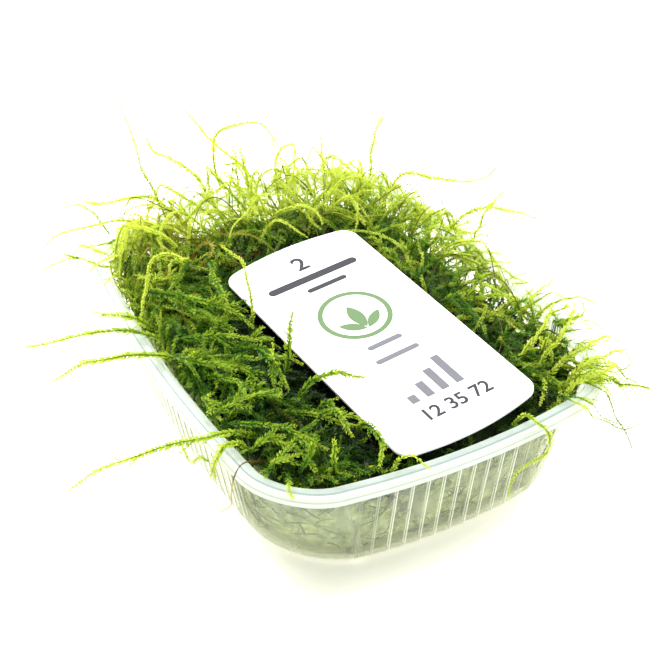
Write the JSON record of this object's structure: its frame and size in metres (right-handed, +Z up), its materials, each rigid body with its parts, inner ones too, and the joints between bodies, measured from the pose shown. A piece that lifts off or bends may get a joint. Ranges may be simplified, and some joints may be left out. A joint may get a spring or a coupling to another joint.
{
  "type": "java moss in a shallow plastic tub",
  "caption": "Tangled portion of java moss filling a shallow translucent ribbed tub, with loose shoots over the rim and a rounded label card lying on top",
  "frame": {"origin": "centre of the tub's flat underside, on the surface that it stands on", "axes": "+Z up, +Y along the tub's long side towards the end where the card's number is, +X to its right"},
  "size_m": [0.1217, 0.1186, 0.0536],
  "materials": {
    "tub_plastic": "thin frosted translucent plastic",
    "card": "smooth white plastic card with plain printed marks",
    "moss": "wet dark green mat of fine leafy stems",
    "shoots": "fresh yellow-green leafy shoots",
    "dead_shoot": "dry brown and yellow stem"
  },
  "bodies": {
    "root": {"label_card": "card", "moss_mat": "moss", "shoot_back_1": "shoots", "shoot_back_2": "shoots", "shoot_back_3": "shoots", "shoot_back_4": "shoots", "shoot_back_5": "shoots", "shoot_back_6": "shoots", "shoot_back_arc": "shoots", "shoot_card_1": "shoots", "shoot_card_3": "shoots", "shoot_card_4": "shoots", "shoot_card_5": "shoots", "shoot_card_6": "shoots", "shoot_card_7": "shoots", "shoot_corner_1": "shoots", "shoot_corner_2": "shoots", "shoot_corner_3": "shoots", "shoot_corner_4": "shoots", "shoot_front_1": "shoots", "shoot_front_curl": "shoots", "shoot_front_over": "shoots", "shoot_left_1": "shoots", "shoot_left_2": "shoots", "shoot_left_3": "shoots", "shoot_left_4": "shoots", "shoot_left_curl": "shoots", "shoot_left_dead": "dead_shoot", "shoot_left_stub": "shoots", "shoot_pillar": "shoots", "shoot_right_1": "shoots", "shoot_right_2": "shoots", "shoot_right_3": "shoots", "shoot_right_4": "shoots", "shoot_right_5": "shoots", "shoot_right_6": "shoots", "shoot_right_7": "shoots", "shoot_right_stem_1": "shoots", "shoot_right_stem_2": "shoots", "tub": "tub_plastic"}
  },
  "joints": []
}
